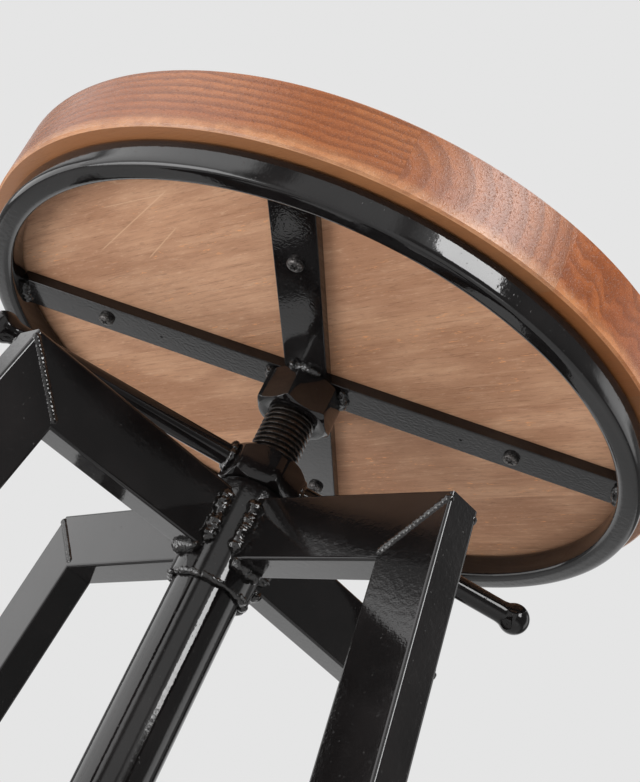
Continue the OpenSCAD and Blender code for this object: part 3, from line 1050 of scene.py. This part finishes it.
@dataclass
class SeatFrame:
    """The ring, cross bars, hub nut, weld beads and wood screws under the seat."""

    coat: bpy.types.Material
    bar_coat: bpy.types.Material
    screw_finish: bpy.types.Material
    beads: WeldBead
    nut_turn: float = math.radians(-5)
    crown: float = 5.0
    corner_pull: float = 0.94
    side_steps: int = 14
    ring_steps: int = 288
    bead_radius: float = 2.9 * MM
    bead_inset: float = 0.2 * MM
    hub_bead_out: float = 16.6 * MM
    recess_over: float = 0.5 * MM
    recess_depth: float = 1.5 * MM
    recess_step: float = 0.08 * MM
    turn: float = field(init=False)
    bar_face: float = field(init=False)

    def __post_init__(self) -> None:
        """Finds the cross's turn and the height of its face."""
        self.turn = Span.of("half_bar_a").heading - QUARTER
        self.bar_face = Span.of("long_bar").low.z

    def build(self) -> None:
        """Builds and dresses the frame under the seat."""
        dress(self.bar_coat, "long_bar", "half_bar_a", "half_bar_b")
        self._ring()
        nut = HexNut("hub_nut", self.turn + self.nut_turn, 2.2 * MM)
        hand_over(nut.build("seat_hub_nut", self.coat), "seat", "nut_black", "hub_nut")
        self._welds()
        self._screws()

    def _ring(self) -> None:
        """The rolled ring, whose faces are slightly crowned between soft corners."""
        span = Span.of("seat_ring")
        middle = Vector(((span.inner + span.outer) / 2, 0, (span.low.z + span.high.z) / 2))
        wide, tall = (span.outer - span.inner) / 2, (span.high.z - span.low.z) / 2
        pull = self.corner_pull * QUARTER
        section = []
        for k in range(4 * self.side_steps):
            side, step = divmod(k, self.side_steps)
            along = math.tan((step / self.side_steps - 0.5) * pull) / (2 * math.tan(pull / 2))
            angle = QUARTER * (side + 1 + along)
            c, d = math.cos(angle), math.sin(angle)
            reach = (abs(c) ** self.crown + abs(d) ** self.crown) ** (-1 / self.crown)
            section.append(middle + Vector((wide * reach * c, 0, tall * reach * d)))
        build = bmesh.new()
        loft(build, ([turn @ p for p in section] for turn in turns(self.ring_steps)), closed=True)
        piece = new_piece("seat_ring_rolled", build, self.coat)
        piece.data.set_sharp_from_angle(angle=math.radians(60))
        hand_over(piece, "seat", "seat_frame_black", "seat_ring")

    def _welds(self) -> None:
        """Beads where the bars meet the ring and the hub nut."""
        at_ring = (Span.of("seat_ring").inner - 0.4 * MM, 7.0 * MM)
        at_hub = (self.hub_bead_out, 7.5 * MM)
        z = self.bar_face - self.bead_inset
        lines = [crosswise(turn, *place, z) for turn in turns(4, self.turn) for place in (at_ring, at_hub)]
        piece = self.beads.lay("seat_frame_beads", lines, self.bead_radius, BeadStyle.ROUGH, 11.0)
        hand_over(piece, "seat", "weld_black", "seat_frame_welds")

    def _screws(self) -> None:
        """Four pan-head screws that hold the cross to the boards."""
        points = [v.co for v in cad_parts["wood_screws"].data.vertices]
        places, radii = [], []
        for turn in turns(4, self.turn):
            onward = turn @ Vector((1, 0, 0))
            own = [p.dot(onward) for p in points if p.dot(onward) > 0.7 * p.xy.length]
            places.append(onward * (min(own) + max(own)) / 2 + Vector((0, 0, self.bar_face)))
            radii.append((max(own) - min(own)) / 2)
        head = self._head(radii[-1], self.bar_face - Span.of("wood_screws").low.z)
        tree = Recipe("wood_screw_row", {"Spread": 2.4, "Seed": 5.0}, self.screw_finish)
        seed = tree.node("FunctionNodeFloatToInt", None, {0: tree.given("Seed")})
        number = {"data_type": "FLOAT"}
        limits = {2: 0.0, 3: tree.given("Spread"), "Seed": seed}
        angle = tree.node("FunctionNodeRandomValue", number, limits, 1)
        turned = tree.node("ShaderNodeCombineXYZ", None, {2: angle})
        turned = tree.node("FunctionNodeEulerToRotation", None, {0: turned})
        screw = tree.node("GeometryNodeObjectInfo", None, {"Object": head}, "Geometry")
        row = {"Points": tree.given("Geometry"), "Instance": screw, "Rotation": turned}
        tree.close(tree.node("GeometryNodeInstanceOnPoints", None, row))
        piece = tree.grow("wood_screw_heads", polylines("wood_screw_places", [[p] for p in places]))
        piece.data.set_sharp_from_angle(angle=math.radians(30))
        bpy.data.objects.remove(head)
        hand_over(piece, "seat", "wood_screw_black", "wood_screws")

    def _head(self, radius: float, height: float) -> bpy.types.Object:
        """Makes one screw about the origin.

        Args:
            radius: its head's radius.
            height: how far its head stands below z = 0.

        Returns:
            The screw, with a cross recess cut into its head.
        """
        shank, point, wall = 1.95 * MM, 0.3 * MM, 0.45 * height
        profile = [(18 * MM, point), (14 * MM, 1.9 * MM), (0.0, shank), (0.0, radius), (-wall, radius)]
        for a in (0.5, 0.9, 1.25, QUARTER):
            profile.append((-wall - (height - wall) * math.sin(a), radius * (0.55 + 0.45 * math.cos(a))))
        profile.append((-height, point))
        build = bmesh.new()
        loft(build, lathe(profile, Matrix.Identity(4), 40))
        head = new_piece("screw_pattern", build, self.screw_finish)
        cross = bmesh.new()
        for turn, deeper in ((0.0, 0.0), (QUARTER, self.recess_step)):
            top = (-height - self.recess_over - deeper, 2.2 * MM, 0.56 * MM)
            floor = (-height + self.recess_depth + deeper, 1.0 * MM, 0.34 * MM)
            rings = []
            for z, long, wide in (top, floor):
                corners = ((long, wide), (-long, wide), (-long, -wide), (long, -wide))
                rings.append([Matrix.Rotation(turn, 4, "Z") @ Vector((x, y, z)) for x, y in corners])
            loft(cross, rings)
        cutter = new_piece("screw_recess", cross, self.screw_finish)
        cut = head.modifiers.new("recess", "BOOLEAN")
        cut.object = cutter
        cut.operation = "DIFFERENCE"
        cut.solver = "EXACT"
        cut.use_self = True
        settle(head)
        bpy.data.objects.remove(cutter)
        return head


@dataclass
class LeadScrew:
    """The screw under the seat: a right-hand helical thread over its core, and the journal below."""

    finish: bpy.types.Material
    pitch: float = 2.5 * MM
    depth: float = 1.35 * MM
    crest: float = 0.75 * MM
    root: float = 2.2 * MM
    sunk: float = 0.6
    round_off: float = 0.2 * MM
    journal_radius: float = 7 * MM
    journal_ease: float = 0.6 * MM
    core_ease: float = 0.8 * MM

    def build(self) -> None:
        """Makes the thread, the core and the journal."""
        span = Span.of("lead_screw")
        shoulder = Span.of("guide_bush").high.z + 0.3 * MM
        core = span.outer - self.depth
        j, soft, ease = self.journal_radius, self.journal_ease, self.core_ease
        profile = [(span.low.z, j - soft), (span.low.z + soft, j), (shoulder, j), (shoulder, core - ease)]
        profile += [(shoulder + ease, core), (span.high.z - ease, core), (span.high.z, core - ease)]
        build = bmesh.new()
        loft(build, lathe(profile, Matrix.Identity(4), 72))
        blank = new_piece("screw_blank", build, self.finish)
        thread = self._thread(core, shoulder + 2 * MM, span.high.z)
        piece = thread.grow("lead_screw_thread", blank.data)
        bpy.data.objects.remove(blank)
        piece.data.set_sharp_from_angle(angle=math.radians(40))
        hand_over(piece, "seat", "screw_black", "lead_screw")

    def _thread(self, core: float, first: float, top: float) -> Recipe:
        """Makes the recipe that winds the thread's ridge about a core.

        Args:
            core: the core's radius.
            first: the height at which the thread starts.
            top: the height under which it ends.

        Returns:
            The recipe, to be grown on the core.
        """
        sizes = {
            "Turns": (top - first - 0.5 * self.root) / self.pitch,
            "Pitch": self.pitch,
            "Core": core,
            "Depth": self.depth,
            "Crest": self.crest,
            "Root": self.root,
        }
        r = Recipe("lead_thread", sizes, self.finish)
        winding = {
            "Resolution": 60,
            "Rotations": r.given("Turns"),
            "Start Radius": r.given("Core"),
            "End Radius": r.given("Core"),
            "Height": r.given("Turns") * r.given("Pitch"),
            "Reverse": True,
        }
        helix = r.node("GeometryNodeCurveSpiral", None, winding)
        helix = r.node("GeometryNodeSetCurveNormal", {"mode": "Z_UP"}, {"Curve": helix})
        root, crest = r.given("Root") * 0.5, r.given("Crest") * 0.5
        inside, outside = r.given("Depth") * -self.sunk, r.given("Depth")
        points = ((inside, root), (outside, crest), (outside, crest * -1), (inside, root * -1))
        corners = {}
        for i, (x, y) in enumerate(points):
            corners[f"Point {i + 1}"] = r.node("ShaderNodeCombineXYZ", None, {0: x, 1: y})
        shape = r.node("GeometryNodeCurvePrimitiveQuadrilateral", {"mode": "POINTS"}, corners)
        soft = {"Curve": shape, "Count": 2, "Radius": self.round_off}
        shape = r.node("GeometryNodeFilletCurve", {"mode": "POLY"}, soft)
        sweep = {"Curve": helix, "Profile Curve": shape, "Fill Caps": True}
        ridge = r.node("GeometryNodeCurveToMesh", None, sweep)
        outward = r.node("GeometryNodeFlipFaces", None, {"Mesh": ridge})
        moved = r.node("GeometryNodeTransform", None, {"Geometry": outward, "Translation": (0, 0, first)})
        joined = r.node("GeometryNodeJoinGeometry", None, {0: moved})
        r.feed(joined.socket.node.inputs[0], r.given("Geometry"))
        r.close(joined)
        return r


@dataclass
class LockLever:
    """The lock nut and its two ball-ended arms."""

    coat: bpy.types.Material
    beads: WeldBead
    nut_turn: float = math.radians(9)
    start: float = 14.5 * MM
    rod_steps: int = 12
    neck: float = 3.2 * MM
    neck_swell: float = 0.55 * MM
    neck_steps: int = 6
    ball_steps: int = 33
    ball_from: float = 0.32
    weld_out: float = 16.4 * MM
    weld_radius: float = 5.0 * MM
    weld_steps: int = 40

    def build(self) -> None:
        """Makes the nut, the arms and their welds."""
        heading = Span.of("lever_ball_a").heading
        nut = HexNut("lock_nut", heading + self.nut_turn, 3.0 * MM)
        hand_over(nut.build("lever_lock_nut", self.coat), "lever", "nut_black", "lock_nut")
        rod = Span.of("lever_rod_a")
        middle = Matrix.Translation((0, 0, (rod.low.z + rod.high.z) / 2))
        places = [middle @ turn @ Matrix.Rotation(QUARTER, 4, "Y") for turn in turns(2, heading)]
        for side, place in zip("ab", places):
            self._arm(side, place)
        circle = circle_points(self.weld_radius, self.weld_out, self.weld_steps)
        lines = [[place @ p for p in circle] for place in places]
        piece = self.beads.lay("lever_beads", lines, 2.2 * MM, BeadStyle.ROUGH, 23.0, closed=True)
        hand_over(piece, "lever", "weld_black", "lever_welds")

    def _arm(self, side: str, place: Matrix) -> None:
        """One rod along a place's Z axis, which swells into its ball at a soft neck."""
        rod_span, ball_span = Span.of("lever_rod_a"), Span.of("lever_ball_a")
        rod = (rod_span.high.z - rod_span.low.z) / 2
        ball = (ball_span.high.z - ball_span.low.z) / 2
        centre = ball_span.outer - ball
        meet = math.asin(rod / ball)
        first = centre - ball * math.cos(meet) - self.neck
        profile = [(self.start, 0.2 * rod), (self.start + 0.3 * MM, rod)]
        for k in range(self.rod_steps):
            profile.append((self.start + (first - self.start) * (k + 1) / self.rod_steps, rod))
        for k in range(1, self.neck_steps):
            t = k / self.neck_steps
            profile.append((first + 1.25 * self.neck * t, rod + self.neck_swell * t * t))
        for k in range(1, self.ball_steps):
            angle = math.pi * k / self.ball_steps
            if angle > meet + self.ball_from:
                profile.append((centre - ball * math.cos(angle), ball * math.sin(angle)))
        profile.append((centre + ball * 0.9995, 0.02 * ball))
        build = bmesh.new()
        loft(build, lathe(profile, place, 48))
        piece = new_piece(f"lever_arm_{side}", build, self.coat)
        piece.data.set_sharp_from_angle(angle=math.radians(60))
        hand_over(piece, "lever", "lever_black", f"lever_rod_{side}", f"lever_ball_{side}")


@dataclass
class Base:
    """The column, the arms and legs, the footrest and everything fixed to them.

    collar_runs holds where each run of the collar's ring bead starts and ends, as steps of a circle.
    """

    coat: bpy.types.Material
    nut_coat: bpy.types.Material
    zinc: bpy.types.Material
    nylon: bpy.types.Material
    plastic: bpy.types.Material
    beads: WeldBead
    upright_bead: float = 3.4 * MM
    collar_bead: float = 1.8 * MM
    elbow_bead: float = 1.9 * MM
    footrest_bead: float = 2.6 * MM
    footrest_half: float = 5.5 * MM
    collar_runs: tuple[tuple[int, int], ...] = (
        (0, 12),
        (11, 19),
        (17, 31),
        (33, 47),
        (45, 60),
        (59, 68),
        (69, 84),
        (82, 98),
    )
    half_tube: float = field(init=False)

    def __post_init__(self) -> None:
        """Finds half the tubes' width."""
        leg = Span.of("leg_a")
        self.half_tube = (leg.high.y - leg.low.y) / 2

    def build(self) -> None:
        """Dresses the tubes and lays their beads."""
        dress(self.coat, "column_tube", "collar_sleeve", "footrest_ring")
        dress(self.coat, *(f"arm_{s}" for s in LEGS), *(f"leg_{s}" for s in LEGS))
        dress(self.nut_coat, "threaded_insert")
        dress(self.zinc, "end_washer", "end_bolt")
        dress(self.nylon, "guide_bush")
        dress(self.plastic, "column_plug", *(f"foot_{s}" for s in LEGS))
        self._collar_beads()
        self._elbow_beads()
        self._footrest_beads()

    def _collar_beads(self) -> None:
        """Upright beads beside the arms, and the ring bead under the collar."""
        collar = Span.of("collar_sleeve")
        welds = Span.of("arm_welds")
        half = self.half_tube
        reach = math.sqrt(collar.outer**2 - half**2) + 0.7 * MM
        arm = [v.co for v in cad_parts["arm_a"].data.vertices if v.co.x < collar.outer + 2 * MM]
        under = min(p.z for p in arm) - 0.3 * MM
        lines = []
        for turn in turns():
            for y in (-half - 0.1 * MM, half + 0.1 * MM):
                low = turn @ Vector((reach, y, welds.low.z + 0.5 * MM))
                high = turn @ Vector((reach, y, welds.high.z - 0.5 * MM))
                lines.append(straight(low, high))
            lines.append(crosswise(turn, collar.outer + 1.2 * MM, half, under))
        piece = self.beads.lay("collar_arm_beads", lines, self.upright_bead, BeadStyle.ROUGH, 37.0)
        hand_over(piece, "base", "weld_black", "arm_welds")
        circle = circle_points(collar.inner + 1.3 * MM, collar.low.z + 0.3 * MM)
        runs = [[circle[k % len(circle)] for k in range(*run)] for run in self.collar_runs]
        piece = self.beads.lay("collar_ring_bead", runs, self.collar_bead, BeadStyle.ROUGH, 41.0)
        hand_over(piece, "base", "weld_black", "collar_weld")

    def _elbow_beads(self) -> None:
        """Flat rippled beads along the mitres, on both sides of each elbow."""
        top, low = self._mitre()
        inset = self.half_tube - 0.9 * MM
        lines = []
        for turn in turns():
            for y in (-inset, inset):
                ends = (turn @ Vector((end.x, y, end.z)) for end in (top, low))
                lines.append(straight(*ends, 16))
        piece = self.beads.lay("elbow_beads", lines, self.elbow_bead, BeadStyle.EVEN, 53.0)
        hand_over(piece, "base", "weld_black", "elbow_welds")

    def _mitre(self) -> tuple[Vector, Vector]:
        """The ends of the mitre on the +X elbow, just inside the tube's corners."""
        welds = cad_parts["elbow_welds"].data.vertices
        points = [v.co for v in welds if v.co.x > 0.05 and abs(v.co.y) < 0.02]
        top = max(points, key=lambda p: p.z + p.x)
        low = min(points, key=lambda p: p.z + p.x)
        return Vector(top), Vector(low)

    def _footrest_beads(self) -> None:
        """Two beads over and under the footrest at each leg."""
        ring = Span.of("footrest_ring")
        middle = (ring.low.z + ring.high.z) / 2
        rise = (ring.high.z - ring.low.z) / 2 - 0.8 * MM
        reach = ring.outer - 0.6 * MM
        lines = []
        for turn in turns():
            for side in (-1, 1):
                radius = reach - side * 1.2 * MM
                lines.append(crosswise(turn, radius, self.footrest_half, middle + side * rise))
        piece = self.beads.lay("footrest_beads", lines, self.footrest_bead, BeadStyle.ROUGH, 61.0)
        hand_over(piece, "base", "weld_black", "footrest_welds")


# --------------------------------------------------------------------- studio


def direction(azimuth: float, elevation: float) -> Vector:
    """The unit vector with a bearing and a height above the horizon, in radians."""
    level = math.cos(elevation)
    return Vector((level * math.cos(azimuth), level * math.sin(azimuth), math.sin(elevation)))


@dataclass
class Viewpoint:
    """Where the camera stands and how it is held, from below the seat."""

    place: Point = (0.5309, -0.3518, 0.2586)
    yaw: float = math.radians(148.641)
    pitch: float = math.radians(28.039)
    roll: float = math.radians(27.227)
    lens: float = 74.358
    shift: tuple[float, float] = (0.06394, -0.06522)

    def build(self) -> None:
        """Makes the camera."""
        forward = direction(self.yaw, self.pitch)
        level = forward.cross(Vector((0, 0, 1))).normalized()
        upright = level.cross(forward)
        right = math.cos(self.roll) * level + math.sin(self.roll) * upright
        above = math.cos(self.roll) * upright - math.sin(self.roll) * level
        data = bpy.data.cameras.new("view")
        data.sensor_width = 36
        data.lens = self.lens
        data.shift_x, data.shift_y = self.shift
        data.clip_start = 0.01
        camera = bpy.data.objects.new("view", data)
        turn = Matrix((right, above, -forward)).transposed().to_4x4()
        camera.matrix_world = Matrix.Translation(self.place) @ turn
        bpy.context.scene.collection.objects.link(camera)
        bpy.context.scene.camera = camera


@dataclass(frozen=True)
class Softbox:
    """A rectangular studio light, aimed at the seat's middle."""

    name: str
    azimuth: float
    elevation: float
    distance: float
    width: float
    height: float
    brightness: float
    spread: float = 180.0

    def build(self, aim: Vector) -> None:
        """Hangs the light.

        Args:
            aim: the point that it faces.
        """
        away = direction(math.radians(self.azimuth), math.radians(self.elevation))
        facing = away.to_track_quat("Z", "Y").to_matrix().to_4x4()
        data = bpy.data.lights.new(self.name, "AREA")
        data.shape = "RECTANGLE"
        data.size, data.size_y = self.width, self.height
        data.spread = math.radians(self.spread)
        data.energy = self.brightness * math.pi * self.width * self.height
        light = bpy.data.objects.new(self.name, data)
        light.visible_camera = False
        light.matrix_world = Matrix.Translation(aim + self.distance * away) @ facing
        bpy.context.scene.collection.objects.link(light)


@dataclass(frozen=True)
class Panel:
    """A lit part of the room, by its bearings in degrees and its brightness."""

    left: float
    right: float
    low: float
    high: float
    brightness: float
    blur: float = 5.0

    def shine(self, g: Graph, azimuth: Value, elevation: Value) -> Value:
        """What the panel adds in a direction.

        Args:
            g: the world's graph.
            azimuth: the direction's bearing from +X, in degrees.
            elevation: its height above the horizon, in degrees.

        Returns:
            The panel's light.
        """
        across = g.smooth(azimuth, self.left - self.blur, self.left + self.blur)
        across = across * g.smooth(azimuth, self.right + self.blur, self.right - self.blur)
        along = g.smooth(elevation, self.low - self.blur, self.low + self.blur)
        along = along * g.smooth(elevation, self.high + self.blur, self.high - self.blur)
        return across * along * self.brightness


@dataclass
class Studio:
    """The pale floor, the dim room with its diffusers, and the soft lights."""

    backdrop: float = 0.783
    dim: float = 0.20
    floor_radius: float = 1.6
    floor_fade: float = 0.55
    floor_tones: tuple[float, float] = (0.60, 0.64)
    panels: tuple[Panel, ...] = (
        Panel(-134, -79, -3, 50, 1.9),
        Panel(-134, -79, -70, -3, 1.2),
        Panel(-168, -134, -20, 21.5, 1.5, 1.0),
        Panel(-66, -30, -60, 60, 0.65, 4.0),
        Panel(-2, 14, -62, -36, 7.0, 2.0),
        Panel(-24, -12, 8, 50, 0.8, 6.0),
        Panel(-172, -140, 29, 56, 1.3, 3.0),
        Panel(54, 78, -12, 42, 1.2),
        Panel(112, 172, -26, 10, 0.75, 4.0),
        Panel(108, 176, 10, 60, 0.60, 4.0),
    )
    lights: tuple[Softbox, ...] = (
        Softbox("key", -7, 27, 1.5, 0.52, 1.0, 11.0),
        Softbox("low", -105, -38, 0.75, 0.6, 0.45, 1.7, 110),
        Softbox("overhead", 60, 80, 1.7, 1.8, 1.8, 1.35),
    )

    def build(self) -> None:
        """Makes the floor, the world and the lights."""
        scene = bpy.context.scene
        scene.view_settings.view_transform = "Standard"
        self._floor()
        self._world()
        aim = Vector((0, 0, Span.of("board_3").low.z))
        for light in self.lights:
            light.build(aim)

    def _floor(self) -> None:
        """A wide level floor under the feet."""
        s = Shader("pale_floor")
        cloud = s.noise(s.place, 900.0, 2.0)
        reach = s.radius() * MM
        dark, light = ((tone, tone, tone) for tone in self.floor_tones)
        finish = s.finish(
            base_color=s.mix(dark, light, cloud),
            alpha=1 - s.smooth(reach, self.floor_fade, self.floor_radius * 0.97),
            roughness=0.6,
        )
        build = bmesh.new()
        bmesh.ops.create_circle(build, cap_ends=True, segments=128, radius=self.floor_radius)
        new_piece("studio_floor", build, finish)

    def _world(self) -> None:
        """Even grey to the camera, and to the gloss a dim room with its large diffusers."""
        world = bpy.data.worlds.new("studio")
        bpy.context.scene.world = world
        world.use_nodes = True
        g = Graph(world.node_tree)
        x, y, z = g.parts(g.node("ShaderNodeTexCoord", out="Generated"))
        azimuth = g.maths("ARCTAN2", y, x) / math.radians(1)
        elevation = g.maths("ARCSINE", z) / math.radians(1)
        room: Any = self.dim
        for panel in self.panels:
            room = room + panel.shine(g, azimuth, elevation)
        seen = g.node("ShaderNodeLightPath", out="Is Camera Ray")
        strength = room * (1 - seen) + self.backdrop * seen
        background = world.node_tree.nodes["Background"]
        g.feed(background.inputs["Color"], (1.0, 1.0, 1.0))
        g.feed(background.inputs["Strength"], strength)


def main() -> None:
    """Builds the studio and the stool."""
    logging.basicConfig(level=logging.INFO, format="%(message)s")
    Viewpoint().build()
    Studio().build()
    coat = GlossCoat("frame_coat").material()
    bar_coat = GlossCoat("bar_coat", peel_mm=1.9, peel_depth=0.035).material()
    nut_coat = GlossCoat("nut_coat", peel_mm=1.6, peel_depth=0.02, ior=1.42).material()
    beads = WeldBead(BurntCoat("weld_coat").material())
    SeatTop().build()
    SeatFrame(coat, bar_coat, PlatedScrew("wood_screw_zinc").material(), beads).build()
    radius = Span.of("lead_screw").outer / MM
    LeadScrew(OiledThread("oiled_thread", radius).material()).build()
    LockLever(nut_coat, beads).build()
    Base(
        coat,
        nut_coat,
        ZincPlate("bright_zinc").material(),
        MouldedPlastic("natural_nylon", (0.80, 0.77, 0.70), 0.42).material(),
        MouldedPlastic("black_plastic", (0.018, 0.018, 0.019), 0.5).material(),
        beads,
    ).build()


if __name__ == "__main__":
    main()
